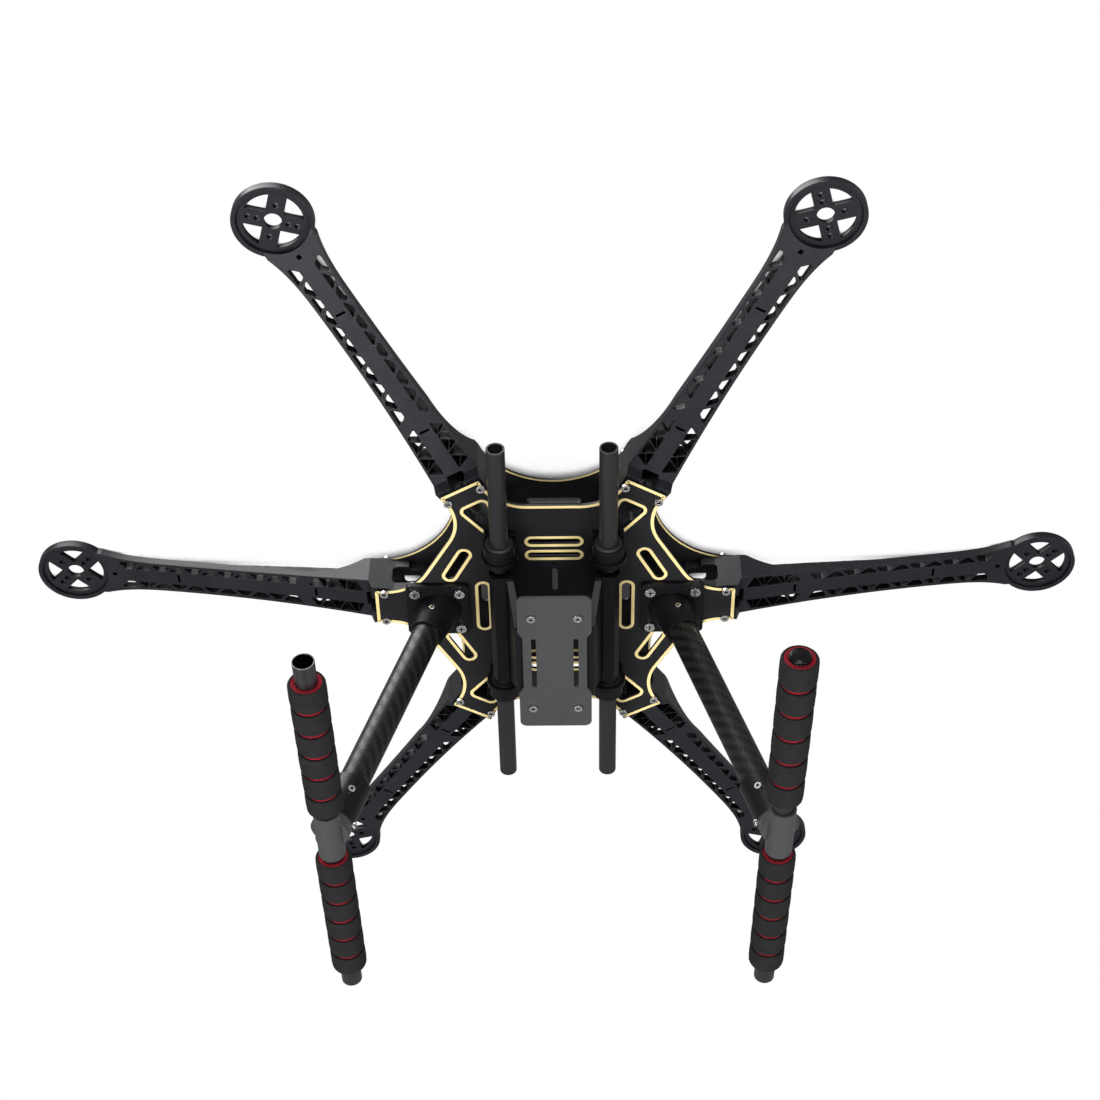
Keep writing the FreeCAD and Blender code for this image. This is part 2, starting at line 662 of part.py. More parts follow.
def make_leg_socket(side):
    """Moulded flange with a leaning barrel that takes the leg tube."""
    body = new_body("leg_socket_" + side_name(side))
    plate = rectangle(-17.5, -18.5, 17.5, 18.5, 3)
    pad(body, "flange", plate, FLANGE_THICKNESS, offset=-FLANGE_THICKNESS)
    drop = lower_level - size("leg_top_level")
    axis = Rotation(Vector(0, 1, 0), -side * lean)
    below = Vector(side * math.sin(math.radians(lean)), 0, -math.cos(math.radians(lean)))
    depth = size("socket_depth")
    plane = next(item for item in body.Origin.OriginFeatures if item.Role == "XY_Plane")

    def leaning(kind, name, sizes_of, low, high):
        """Round feature on the leg axis between two distances down the leg."""
        feature = body.newObject("PartDesign::" + kind, body.Label + "_" + name)
        feature.AttachmentSupport = [(plane, "")]
        feature.MapMode = "FlatFace"
        for prop, formula in sizes_of.items():
            bind(feature, prop, formula)
        feature.Height = high - low
        feature.AttachmentOffset = Placement(Vector(0, 0, -drop).add(below * high), axis)

    leaning("AdditiveCone", "bell", {"Radius1": "sizes.socket_mouth / 2", "Radius2": "sizes.socket_base / 2"},
            -3.0, depth)
    pocket(body, "top_face", rectangle(-40, -40, 40, 40), 20)
    leaning("SubtractiveCylinder", "bore", {"Radius": "sizes.leg_outer / 2 + sizes.fit_gap"}, 1.5, depth + 1)
    hole = SOCKET_SCREW[0] + SCREW_HOLE_GAP
    holes = [circle(x, y, hole) for x, y in mirrored_four(SOCKET_SCREW_X, SOCKET_SCREW_Y)]
    pocket(body, "screw_holes", holes)
    set_screw_height = -drop - SET_SCREW_DEPTH * math.cos(math.radians(lean))
    set_screw_x = side * SET_SCREW_DEPTH * math.sin(math.radians(lean))
    pocket(body, "set_screw_hole", [circle(set_screw_x, set_screw_height, 1.6)], 20, "XZ_Plane", upward=True)
    body.Placement = Placement(Vector(side * size("leg_top_reach"), 0, lower_level), Rotation())
    body.setExpression(".Placement.Base.z", "sizes.lower_plate_level")


def make_leg_tube(side):
    """Carbon-fibre leg tube."""
    start = size("tee_outer") / 2 + 1.5
    length = leg_span - start - 2.0
    body = tube("leg_tube_" + side_name(side), "sizes.leg_outer", "sizes.leg_inner", length, start)
    body.Placement = leg_frame(side)


def tee_screw_axes(side):
    """Height, inward-pointing direction and reach of each tee screw, in the leg's frame."""
    inward = -side
    clamp = Vector(inward * math.sin(math.radians(25)), -math.cos(math.radians(25)), 0)
    return [(22.0, clamp), (7.0, Vector(inward, 0, 0))]


def make_tee(side):
    """Tee that clamps the leg tube and carries the skid tube."""
    body = new_body("tee_" + side_name(side))
    pad(body, "barrel", [circle(0, 0, size("tee_outer") / 2)], "sizes.tee_length", "XZ_Plane", both_ways=True)
    pad(body, "sleeve", [circle(0, 0, TEE_SLEEVE_RADIUS)], TEE_SLEEVE_END)
    leg_bore = size("leg_outer") / 2 + size("fit_gap")
    pocket(body, "leg_bore", [circle(0, 0, leg_bore)], TEE_SLEEVE_END, offset=TEE_SEAT)
    slit = rectangle(-1.0, 0, 1.0, TEE_SLEEVE_RADIUS + 1)
    pocket(body, "clamp_slit", slit, TEE_SLEEVE_END, offset=TEE_SEAT + 4)
    pocket(body, "skid_bore", [circle(0, 0, size("skid_outer") / 2 + size("fit_gap"))], None, "XZ_Plane")
    plane = next(item for item in body.Origin.OriginFeatures if item.Role == "XY_Plane")
    for index, (height, direction) in enumerate(tee_screw_axes(side)):
        hole = body.newObject("PartDesign::SubtractiveCylinder", f"{body.Label}_screw_hole_{index}")
        hole.AttachmentSupport = [(plane, "")]
        hole.MapMode = "FlatFace"
        hole.Radius = TEE_SCREW_RADIUS + 0.05
        hole.Height = 4.1
        base = direction * (TEE_SLEEVE_RADIUS - 4.0)
        outwards = Rotation(Vector(0, 0, 1), direction)
        hole.AttachmentOffset = Placement(base.add(Vector(0, 0, height)), outwards)
    body.Placement = leg_frame(side)


TEE_SCREW_RADIUS = 1.05
LONG_FOAM_INSET = 0.3


def make_skid(side):
    """Skid tube, its two foam sleeves and the layers of each sleeve."""
    name = side_name(side)
    half = size("skid_length") / 2
    skid = tube("skid_tube_" + name, "sizes.skid_outer", "sizes.skid_inner", "sizes.skid_length")
    skid.Placement = skid_frame(side, -half)
    capped_start = LONG_FOAM_INSET - half
    sleeves = {
        "front_left": ("foam_length", -FOAM_START - size("foam_length")),
        "rear_left": ("foam_length", FOAM_START),
        "front_right": ("long_foam_length", capped_start),
        "rear_right": ("foam_length", FOAM_START),
    }
    for end in ("front", "rear"):
        length, start = sleeves[f"{end}_{name}"]
        core = tube(f"foam_core_{end}_{name}", "sizes.foam_core", "sizes.skid_outer + 2 * sizes.fit_gap",
                    "sizes." + length)
        core.Placement = skid_frame(side, start)
        make_foam_bands(f"foam_bands_{end}_{name}", size(length), skid_frame(side, start))


def make_foam_bands(label, length, place):
    """Outer foam layer: bands with grooves between them, round the inner layer."""
    gap = size("foam_gap")
    band = (length - gap * (FOAM_BANDS - 1)) / FOAM_BANDS
    inner = size("foam_core") / 2 + size("fit_gap")
    outer = size("foam_outer") / 2
    bands = []
    for index in range(FOAM_BANDS):
        base = Vector(0, 0, index * (band + gap))
        along = Vector(0, 0, 1)
        bands.append(cylinder(outer, band, base, along).cut(cylinder(inner, band, base, along)))
    group(label, bands).Placement = place


def make_end_cap():
    """Domed plug in the front end of the right skid tube."""
    body = new_body("skid_end_cap")
    plug = size("skid_inner") / 2 - size("fit_gap")
    head = size("skid_outer") / 2
    points = [(0, 0), (plug, 0), (plug, 8.0), (head, 8.0), (head, 9.0), (head - 1.2, 10.2), (0, 10.7)]
    revolve(body, "plug", points)
    forward = Placement(Vector(0, 8.0 - size("skid_length") / 2, 0), Rotation(Vector(1, 0, 0), 90))
    body.Placement = leg_frame(1).multiply(forward)


def in_frame(shape, place):
    """Copy of a solid moved into the row's frame."""
    moved = shape.copy()
    moved.Placement = place.multiply(shape.Placement)
    return moved


def leg_screw_start(level):
    """How far from the leg axis a tee screw's tip ends: short of the leg tube where it is beside it."""
    if level > TEE_SEAT:
        return size("leg_outer") / 2 + 2 * size("fit_gap")
    return TEE_SLEEVE_RADIUS - 3.8


SET_SCREW_FACE = 11.6


def make_leg_screws():
    """Screws of the sockets and of the tee clamps."""
    seat = lower_level - FLANGE_THICKNESS
    points = socket_screw_points()
    group("socket_screws", [screw(point, seat, 1, 7.2, SOCKET_SCREW, "cross") for point in points])
    group("socket_nuts", [nut(point, lower_top, SOCKET_SCREW) for point in points])
    set_screws = []
    for side in (-1, 1):
        tee_screws = []
        place = leg_frame(side)
        height = leg_span - SET_SCREW_DEPTH
        outside = SET_SCREW_FACE
        bore = size("leg_outer") / 2 + 2 * size("fit_gap")
        plug = cylinder(1.55, outside - bore, Vector(0, -outside, height), Vector(0, 1, 0))
        dimple = cylinder(0.8, 0.8, Vector(0, -outside, height), Vector(0, 1, 0))
        upright = Placement(place.Base, Rotation(Vector(0, 1, 0), -side * lean))
        set_screws.append(in_frame(plug.cut(dimple), upright))
        for level, direction in tee_screw_axes(side):
            reach = leg_screw_start(level)
            base = direction * reach
            base = base.add(Vector(0, 0, level))
            length = TEE_SLEEVE_RADIUS - reach
            shank = cylinder(TEE_SCREW_RADIUS, length + 0.3, base, direction)
            head = cylinder(1.9, 1.3, base.add(direction * length), direction)
            socket = cylinder(0.8, 0.8, base.add(direction * (length + 0.5)), direction)
            tee_screws.append(in_frame(shank.fuse(head).removeSplitter().cut(socket), place))
        group("tee_screws_" + side_name(side), tee_screws)
    group("socket_set_screws", set_screws)


# ---------------------------------------------------------------- rails and tray

def make_rails():
    """Two rails that slide in the hangers' rubber rings."""
    for side in (-1, 1):
        rail = tube("rail_" + side_name(side), "sizes.rail_outer", "sizes.rail_inner", "sizes.rail_length")
        rail.Placement = Placement(Vector(side * rail_x, -size("rail_length") / 2, rail_level),
                                   Rotation(Vector(1, 0, 0), -90))


def make_hanger(label, x, y):
    """Moulded hanger: a ring under a foot that is screwed to the lower plate."""
    body = new_body(label)
    drop = size("rail_drop")
    outer = size("hanger_outer") / 2
    half = size("hanger_width") / 2
    pad(body, "ring", [circle(0, 0, outer)], 3.0, offset=-half)
    pad(body, "collar", [circle(0, 0, outer - 1.4)], "sizes.hanger_width", offset=-half)
    foot = rectangle(-8.5, drop - 4.0, 8.5, drop, 0)
    pad(body, "foot", foot, "sizes.hanger_width", offset=-half)
    pad(body, "web", rectangle(-6.5, 5.0, 6.5, drop - 1.0), "sizes.hanger_width", offset=-half)
    pocket(body, "trim", rectangle(-20, drop, 20, drop + 10))
    pocket(body, "seat", [circle(0, 0, RUBBER_OUTER + size("fit_gap"))])
    holes = [circle(step, 0, SMALL_SCREW[0] + 0.05) for step in (-HANGER_SCREW_SIDE, HANGER_SCREW_SIDE)]
    pocket(body, "screw_holes", holes, 3.6, "XZ_Plane", offset=-drop, upward=True)
    facing = Rotation(Vector(1, 0, 0), 90) if y < 0 else Rotation(Vector(0, 0, 1), 180).multiply(
        Rotation(Vector(1, 0, 0), 90))
    body.Placement = Placement(Vector(x, y, rail_level), facing)


RUBBER_OUTER = 7.6


def make_hangers():
    """Four hangers, their rubber rings and screws."""
    names = {(-1, -1): "front_left", (1, -1): "front_right", (-1, 1): "rear_left", (1, 1): "rear_right"}
    for (across, along), name in names.items():
        make_hanger("hanger_" + name, across * rail_x, along * hanger_y)
        ring = new_body("hanger_rubber_" + name)
        half = size("hanger_width") / 2
        inner = size("rail_outer") / 2 + size("fit_gap")
        points = [(inner, -half - 1.2), (RUBBER_OUTER - 1.0, -half - 1.2), (RUBBER_OUTER, -half - 0.4),
                  (RUBBER_OUTER, half), (inner, half)]
        revolve(ring, "ring", points)
        facing = -90 if along < 0 else 90
        ring.Placement = Placement(Vector(across * rail_x, along * hanger_y, rail_level),
                                   Rotation(Vector(1, 0, 0), facing))
    group("hanger_screws", [screw(point, lower_top, -1, 5.0, SMALL_SCREW) for point in hanger_screw_points()])


TRAY_SCREW_X = 12.5
TRAY_SCREW_Y = 35.0
BRACKET_FOOT = 2.4
SADDLE_HALF_WIDTH = 6.0


def make_bracket(side):
    """Moulded tray bracket: a saddle clipped over the rail and an inclined wall down to the tray."""
    body = new_body("tray_bracket_" + side_name(side))
    rail_radius = size("rail_outer") / 2 + size("fit_gap")
    drop = tray_top - rail_level
    flip = side
    half = size("bracket_length") / 2
    cheek = SADDLE_HALF_WIDTH
    saddle = [(flip * (rail_x - cheek), 3.0), (flip * (rail_x - cheek), -6.0), (flip * (rail_x - 3.4), -9.0),
              (flip * (rail_x + 3.4), -9.0), (flip * (rail_x + cheek), -5.0), (flip * (rail_x + cheek), 3.0)]
    pad(body, "saddle", rounded(saddle, 0), "sizes.bracket_length", "XZ_Plane", both_ways=True)
    wall = [(flip * (rail_x - cheek), -3.0), (flip * (rail_x - 3.6), -8.4), (flip * 21.5, drop + 1.5),
            (flip * 19.5, drop), (flip * 16.5, drop)]
    pad(body, "wall", rounded(wall, 0), "sizes.bracket_length", "XZ_Plane", both_ways=True)
    trims = []
    for end in (-1, 1):
        trims += rounded([(end * (half + 1), drop - 1), (end * (half + 1), -9.0), (end * (half - 1.5), -9.0),
                          (end * (half - 16.0), drop + 2.0), (end * (half - 16.0), drop - 1)], 0)
    pocket(body, "wall_ends", trims, None, "YZ_Plane")
    for end, name in ((-1, "front_foot"), (1, "rear_foot")):
        foot = [(flip * 8.0, end * 38.5), (flip * 16.8, end * 38.5), (flip * 18.5, end * 24.0),
                (flip * 18.5, end * 21.5), (flip * 8.0, end * 24.0)]
        pad(body, name, rounded(foot, 0), BRACKET_FOOT, offset=drop)
    pocket(body, "rail_bore", [circle(flip * rail_x, 0, rail_radius)], None, "XZ_Plane")
    mouth = rectangle(flip * rail_x - rail_radius + 0.6, 0, flip * rail_x + rail_radius - 0.6, 8)
    pocket(body, "mouth", mouth, None, "XZ_Plane")
    hole = SMALL_SCREW[0] + SCREW_HOLE_GAP
    holes = [circle(flip * TRAY_SCREW_X, y, hole) for y in (-TRAY_SCREW_Y, TRAY_SCREW_Y)]
    pocket(body, "screw_holes", holes)
    body.Placement = Placement(Vector(0, 0, rail_level), Rotation())
    body.setExpression(".Placement.Base.z", "sizes.lower_plate_level - sizes.rail_drop")


def make_hanging_plate():
    """Hanging battery plate with a waist, two strap slots and four screw holes."""
    body = new_body("hanging_plate")
    half_length = size("tray_length") / 2
    half_width = size("tray_width") / 2
    waist = half_width - 2.5
    right = [(half_width, -half_length), (half_width, -24.0), (waist, -19.5),
             (waist, 19.5), (half_width, 24.0), (half_width, half_length)]
    left = [(-x, y) for x, y in reversed(right)]
    pad(body, "board", rounded(right + left, [4, 1, 1, 1, 1, 4] * 2), "sizes.tray_thickness")
    openings = slot((-11.5, 0), 19.0, 1.35, 90) + slot((11.5, 0), 19.0, 1.35, 90)
    hole = SMALL_SCREW[0] + SCREW_HOLE_GAP
    openings += [circle(x, y, hole) for x, y in mirrored_four(TRAY_SCREW_X, TRAY_SCREW_Y)]
    pocket(body, "openings", openings)
    body.setExpression(".Placement.Base.z", "sizes.tray_level")


def make_tray_fasteners():
    """Screws from below through the hanging plate and nuts on top of the brackets' feet."""
    points = mirrored_four(TRAY_SCREW_X, TRAY_SCREW_Y)
    group("tray_screws", [screw(point, size("tray_level"), 1, 7.0, SMALL_SCREW) for point in points])
    group("tray_nuts", [nut(point, tray_top + BRACKET_FOOT, SMALL_SCREW) for point in points])


# ---------------------------------------------------------------- assembly

make_lower_plate()
make_upper_plate()
first_arm = make_first_arm(ARM_NAMES[0])
for arm_angle, arm_label in ARM_NAMES.items():
    if arm_angle != 0:
        make_arm_copy(arm_label, first_arm, arm_angle)
make_plate_screws()
for leg_side in (-1, 1):
    make_leg_socket(leg_side)
    make_leg_tube(leg_side)
    make_tee(leg_side)
    make_skid(leg_side)
make_end_cap()
make_leg_screws()
make_rails()
make_hangers()
for bracket_side in (-1, 1):
    make_bracket(bracket_side)
make_hanging_plate()
make_tray_fasteners()

doc.recompute()

for item in doc.Objects:
    if "Invalid" in item.State or "Error" in item.State:
        raise RuntimeError(f"{item.Name} failed: {item.State}")
for node in nodes:
    if node.Shape.isNull() or not node.Shape.isValid():
        raise RuntimeError(f"{node.Label} has no valid shape")

os.makedirs("parts", exist_ok=True)
for node in nodes:
    node.Shape.exportStep(f"parts/{node.Label}.step")
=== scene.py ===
import json
import math

import bmesh
import bpy
import numpy as np
from mathutils import Matrix, Vector, noise


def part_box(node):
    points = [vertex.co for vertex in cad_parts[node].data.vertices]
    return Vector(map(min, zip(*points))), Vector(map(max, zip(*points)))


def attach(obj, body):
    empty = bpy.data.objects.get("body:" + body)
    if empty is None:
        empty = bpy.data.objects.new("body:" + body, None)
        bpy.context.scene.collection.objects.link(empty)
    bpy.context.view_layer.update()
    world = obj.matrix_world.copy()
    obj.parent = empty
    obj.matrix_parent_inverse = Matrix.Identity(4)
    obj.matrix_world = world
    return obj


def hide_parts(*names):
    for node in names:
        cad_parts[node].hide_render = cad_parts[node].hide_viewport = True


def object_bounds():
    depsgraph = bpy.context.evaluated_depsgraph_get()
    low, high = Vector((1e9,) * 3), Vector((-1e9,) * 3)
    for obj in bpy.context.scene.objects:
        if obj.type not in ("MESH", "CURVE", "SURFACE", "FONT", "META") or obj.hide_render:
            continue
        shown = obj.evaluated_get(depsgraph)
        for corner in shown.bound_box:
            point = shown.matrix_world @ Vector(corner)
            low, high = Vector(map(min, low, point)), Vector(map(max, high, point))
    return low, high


# Looks of the hexacopter frame.  Metres, +Z up, nose towards -Y, in the CAD's own frame.

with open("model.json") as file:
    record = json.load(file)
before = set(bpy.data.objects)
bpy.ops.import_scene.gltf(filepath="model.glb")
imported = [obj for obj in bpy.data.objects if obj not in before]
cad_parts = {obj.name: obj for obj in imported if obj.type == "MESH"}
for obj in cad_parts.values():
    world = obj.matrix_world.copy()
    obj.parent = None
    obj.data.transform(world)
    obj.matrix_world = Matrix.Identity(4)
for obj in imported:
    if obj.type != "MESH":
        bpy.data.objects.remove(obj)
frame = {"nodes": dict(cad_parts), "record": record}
cad_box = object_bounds()
nodes = frame["nodes"]
MM = 0.001
SIDES = ("left", "right")
ENDS = ("front", "rear")

# Gold tracks: their width on each plate, and the narrowest opening that has one.
TRACKS = {
    "lower_plate": (1.9 * MM, 3.6 * MM),
    "upper_plate": (1.1 * MM, 100 * MM),
}
TRACK_INSET = 0.1 * MM
TRACK_RISE = 0.06 * MM
TRACK_SINK = 0.02 * MM
CLOSEST_POINTS = 0.00002
LEVEL_TOLERANCE = 1e-5

# Foam sleeves: corner radii, and the pits in the skin, whose grain is per metre.
CORE_CORNER = 0.5 * MM
BAND_CORNER = 0.7 * MM
SLEEVE_END_CORNER = 1.5 * MM
SKIN_CROWN = 0.12 * MM
CORE_PITS = 0.06 * MM
BAND_PITS = 0.11 * MM
COARSE_GRAIN = 900.0
FINE_GRAIN = 2300.0
SLEEVE_FACETS = 112

# Other surface features.
TOW_WIDTH = 2.1 * MM
TEE_COLOUR_CHANGE = 6.2 * MM
# Near black that the materials paint into recesses as shade.
RECESS_PAINTED_SHADE = (0.001, 0.001, 0.0012)

# Studio.  The camera's angles are azimuth, elevation and roll in degrees.
FLOOR_GAP = 0.5 * MM
BACKDROP_GAP = 0.4 * MM
BACKDROP_SHADE_REACH = 0.06
STAGE_HALF = 8.0
WORLD_LIGHT = 0.27
CAMERA_PLACE = (0.012303, -0.84714, -0.69313)
CAMERA_ANGLES = (1.037, -47.078, 0.255)
LENS_MM = 70.58
SENSOR_MM = 36.0


# ---------------------------------------------------------------- node helpers

class Graph:
    """A material's node tree with short calls for the few node kinds used here."""

    def __init__(self, name):
        self.material = bpy.data.materials.new(name)
        self.material.use_nodes = True
        self.tree = self.material.node_tree
        self.shader = self.tree.nodes["Principled BSDF"]
        self.place = self.add("ShaderNodeTexCoord").outputs["Object"]

    def add(self, kind, **values):
        """New node; values set its plain properties."""
        node = self.tree.nodes.new(kind)
        for key, value in values.items():
            setattr(node, key, value)
        return node

    def link(self, value, socket):
        """Puts a link or a plain value into a socket."""
        if isinstance(value, bpy.types.NodeSocket):
            self.tree.links.new(value, socket)
        else:
            socket.default_value = value

    def math(self, operation, first, second=0.0):
        """Result of a math node."""
        node = self.add("ShaderNodeMath", operation=operation)
        self.link(first, node.inputs[0])
        self.link(second, node.inputs[1])
        return node.outputs[0]

    def noise(self, scale, detail=4.0, vector=None):
        """Noise value, 0 to 1."""
        node = self.add("ShaderNodeTexNoise")
        self.link(vector or self.place, node.inputs["Vector"])
        node.inputs["Scale"].default_value = scale
        node.inputs["Detail"].default_value = detail
        return node.outputs["Fac"]

    def stretched(self, scale):
        """Object coordinates scaled by a different amount on each axis."""
        node = self.add("ShaderNodeMapping")
        self.link(self.place, node.inputs["Vector"])
        node.inputs["Scale"].default_value = scale
        return node.outputs["Vector"]

    def spread(self, value, low, high):
        """Maps a 0 to 1 value onto low to high."""
        node = self.add("ShaderNodeMapRange")
        self.link(value, node.inputs["Value"])
        node.inputs["To Min"].default_value = low
        node.inputs["To Max"].default_value = high
        return node.outputs["Result"]

    def share(self, value, low, high, kind="SMOOTHSTEP"):
        """0 where a value is below low, 1 where it is above high."""
        node = self.add("ShaderNodeMapRange", interpolation_type=kind)
        self.link(value, node.inputs["Value"])
        node.inputs["From Min"].default_value = low
        node.inputs["From Max"].default_value = high
        return node.outputs["Result"]

    def seen_from(self, centre):
        """Position relative to a point."""
        node = self.add("ShaderNodeVectorMath", operation="SUBTRACT")
        self.link(self.place, node.inputs[0])
        node.inputs[1].default_value = centre
        return node.outputs[0]

    def blend(self, share, first, second):
        """Colour between two colours."""
        node = self.add("ShaderNodeMix", data_type="RGBA")
        self.link(share, node.inputs["Factor"])
        node.inputs[6].default_value = (*first, 1)
        node.inputs[7].default_value = (*second, 1)
        return node.outputs[2]

    def wave(self, axis, pitch):
        """Sine wave along one axis of the object, one turn per pitch in metres."""
        parts = self.add("ShaderNodeSeparateXYZ")
        self.link(self.place, parts.inputs[0])
        return self.math("SINE", self.math("MULTIPLY", parts.outputs[axis], 2 * math.pi / pitch))

    def openness(self, distance, samples=8):
        """How open to its surroundings a point is: 0 deep in a recess, 1 in the open."""
        node = self.add("ShaderNodeAmbientOcclusion", samples=samples)
        node.inputs["Distance"].default_value = distance
        return node.outputs["AO"]

    def with_painted_shade(self, colour, distance, low, high):
        """Colour with painted shade that goes to near black in recesses, and how clear of them each point
        is.
        """
        clear = self.share(self.openness(distance), low, high)
        mix = self.add("ShaderNodeMix", data_type="RGBA")
        self.link(clear, mix.inputs["Factor"])
        # Painted shade: deep in recesses the colour becomes this near black.
        mix.inputs[6].default_value = (*RECESS_PAINTED_SHADE, 1)
        self.link(colour, mix.inputs[7])
        return mix.outputs[2], clear

    def bump(self, height, depth, edge=0.0):
        """Bump of a real depth in metres over softly rounded edges."""
        node = self.add("ShaderNodeBump")
        self.link(height, node.inputs["Height"])
        node.inputs["Distance"].default_value = depth
        if edge:
            bevel = self.add("ShaderNodeBevel", samples=4)
            bevel.inputs["Radius"].default_value = edge
            self.link(bevel.outputs["Normal"], node.inputs["Normal"])
        self.link(node.outputs["Normal"], self.shader.inputs["Normal"])

    def finish(self, colour, rough, metal=0.0, shine=0.5):
        """Sets colour, roughness, metalness and strength of reflection."""
        self.link(shine, self.shader.inputs["Specular IOR Level"])
        self.link(colour, self.shader.inputs["Base Color"])
        self.link(rough, self.shader.inputs["Roughness"])
        self.shader.inputs["Metallic"].default_value = metal
        return self.material


# ---------------------------------------------------------------- materials

def moulded(name, dark, light, rough, shine):
    """Moulded plastic: spark-eroded grain, cloudy sheen, soft edges, and painted shade that turns recesses
    near black and dims their reflection.
    """
    graph = Graph(name)
    cloud = graph.noise(45.0, 3.0)
    graph.bump(graph.noise(2600.0, 2.0), 0.06 * MM, 0.4 * MM)
    # Painted shade: the colour goes near black in recesses.
    tone, clear = graph.with_painted_shade(graph.blend(cloud, dark, light), 8 * MM, 0.35, 0.75)
    sheen = graph.spread(cloud, rough - 0.07, rough + 0.07)
    # Painted shade: reflection is dimmed in recesses too.
    return graph.finish(tone, sheen, shine=graph.spread(clear, 0.02, shine))


def board(name, dark, light):
    """Matt solder-mask over a glass weave that only just shows."""
    graph = Graph(name)
    cloud = graph.noise(30.0, 3.0)
    weave = graph.math("MULTIPLY", graph.wave(0, 0.7 * MM), graph.wave(1, 0.7 * MM))
    graph.bump(weave, 0.01 * MM, 0.2 * MM)
    return graph.finish(graph.blend(cloud, dark, light), graph.spread(cloud, 0.44, 0.56), shine=0.3)


def drawn_metal(name, dark, light, rough, metal=1.0):
    """Drawn metal tube or rod that lies along Y: fine streaks along its length."""
    graph = Graph(name)
    streak = graph.noise(1.0, 3.0, graph.stretched((3000.0, 25.0, 3000.0)))
    graph.bump(streak, 0.02 * MM, 0.2 * MM)
    sheen = graph.spread(streak, rough - 0.08, rough + 0.08)
    return graph.finish(graph.blend(streak, dark, light), sheen, metal)


def plated(name, dark, light, rough, metal=1.0):
    """Plated metal with fine handling marks, and painted shade that darkens it deep in its recesses."""
    graph = Graph(name)
    cloud = graph.noise(700.0, 5.0)
    graph.bump(cloud, 0.02 * MM, 0.15 * MM)
    # Painted shade: the colour goes near black deep in recesses.
    tone, _ = graph.with_painted_shade(graph.blend(cloud, dark, light), 1.6 * MM, 0.45, 0.85)
    return graph.finish(tone, graph.spread(cloud, rough - 0.06, rough + 0.1), metal)


def foam(name, dark, light):
    """Closed-cell foam: cut cells as small pits."""
    graph = Graph(name)
    cells = graph.add("ShaderNodeTexVoronoi")
    graph.link(graph.place, cells.inputs["Vector"])
    cells.inputs["Scale"].default_value = 1500.0
    graph.bump(cells.outputs["Distance"], 0.3 * MM)
    cloud = graph.noise(220.0, 4.0)
    return graph.finish(graph.blend(cloud, dark, light), graph.spread(cloud, 0.82, 0.95), shine=0.2)


def rubber(name):
    """Black rubber with a dusty bloom."""
    graph = Graph(name)
    bloom = graph.noise(300.0, 5.0)
    graph.bump(bloom, 0.04 * MM, 0.4 * MM)
    tone = graph.blend(bloom, (0.004, 0.004, 0.0045), (0.011, 0.011, 0.012))
    return graph.finish(tone, graph.spread(bloom, 0.5, 0.7))


def carbon(name, centre, direction, radius):
    """Twill carbon cloth wrapped round a tube, under a satin lacquer."""
    graph = Graph(name)
    local = graph.add("ShaderNodeVectorRotate", rotation_type="EULER_XYZ")
    graph.link(graph.seen_from(centre), local.inputs["Vector"])
    local.inputs["Rotation"].default_value = direction.rotation_difference(Vector((0, 0, 1))).to_euler()
    parts = graph.add("ShaderNodeSeparateXYZ")
    graph.link(local.outputs[0], parts.inputs[0])
    angle = graph.math("ARCTAN2", parts.outputs[1], parts.outputs[0])
    tows_round = round(2 * math.pi * radius / TOW_WIDTH / 4) * 4
    across = graph.math("MULTIPLY", angle, tows_round / (2 * math.pi))
    along = graph.math("MULTIPLY", parts.outputs[2], 1 / TOW_WIDTH)
    step = graph.math("ADD", graph.math("FLOOR", across), graph.math("FLOOR", along))
    weft = graph.math("LESS_THAN", graph.math("FLOORED_MODULO", step, 4.0), 1.5)
    height = graph.add("ShaderNodeMix", data_type="FLOAT")
    graph.link(weft, height.inputs[0])
    graph.link(graph.math("PINGPONG", across, 0.5), height.inputs[2])
    graph.link(graph.math("PINGPONG", along, 0.5), height.inputs[3])
    graph.bump(height.outputs[0], 0.04 * MM)
    graph.shader.inputs["Coat Weight"].default_value = 0.12
    graph.shader.inputs["Coat Roughness"].default_value = 0.22
    tone = graph.blend(weft, (0.004, 0.004, 0.0045), (0.016, 0.0155, 0.015))
    return graph.finish(tone, graph.spread(weft, 0.46, 0.34), shine=0.3)


def tee_metal(name, centre, direction):
    """Cast tee: grey round the skid, black further up the leg."""
    graph = Graph(name)
    along = graph.add("ShaderNodeVectorMath", operation="DOT_PRODUCT")
    graph.link(graph.seen_from(centre), along.inputs[0])
    along.inputs[1].default_value = direction
    edge = 0.6 * MM
    up_the_leg = graph.share(along.outputs["Value"], TEE_COLOUR_CHANGE - edge, TEE_COLOUR_CHANGE + edge)
    cloud = graph.noise(500.0, 4.0)
    graph.bump(cloud, 0.03 * MM, 0.3 * MM)
    tone = graph.blend(up_the_leg, (0.070, 0.070, 0.073), (0.006, 0.006, 0.007))
    return graph.finish(tone, graph.spread(cloud, 0.30, 0.42), 0.35)


# ---------------------------------------------------------------- mesh helpers

def points_of(name):
    """A CAD node's vertices as an array."""
    return np.array([vertex.co for vertex in nodes[name].data.vertices], float)


def axis_of(name):
    """Middle and direction of a long round node; the direction points to +Z or +Y."""
    points = points_of(name)
    middle = (points.min(0) + points.max(0)) / 2
    direction = Vector(np.linalg.svd(points - points.mean(0), full_matrices=False)[2][0])
    if direction.y + direction.z < 0:
        direction.negate()
    return Vector(middle), direction.normalized()


def round_sizes(name, centre, direction):
    """How far each vertex of a node lies along an axis and away from it."""
    points = points_of(name) - np.array(centre)
    along = points @ np.array(direction)
    return along, np.linalg.norm(points - np.outer(along, direction), axis=1)


def finished(shape, name):
    """Mesh made of a bmesh, which is freed."""
    mesh = bpy.data.meshes.new(name)
    shape.to_mesh(mesh)
    shape.free()
    return mesh


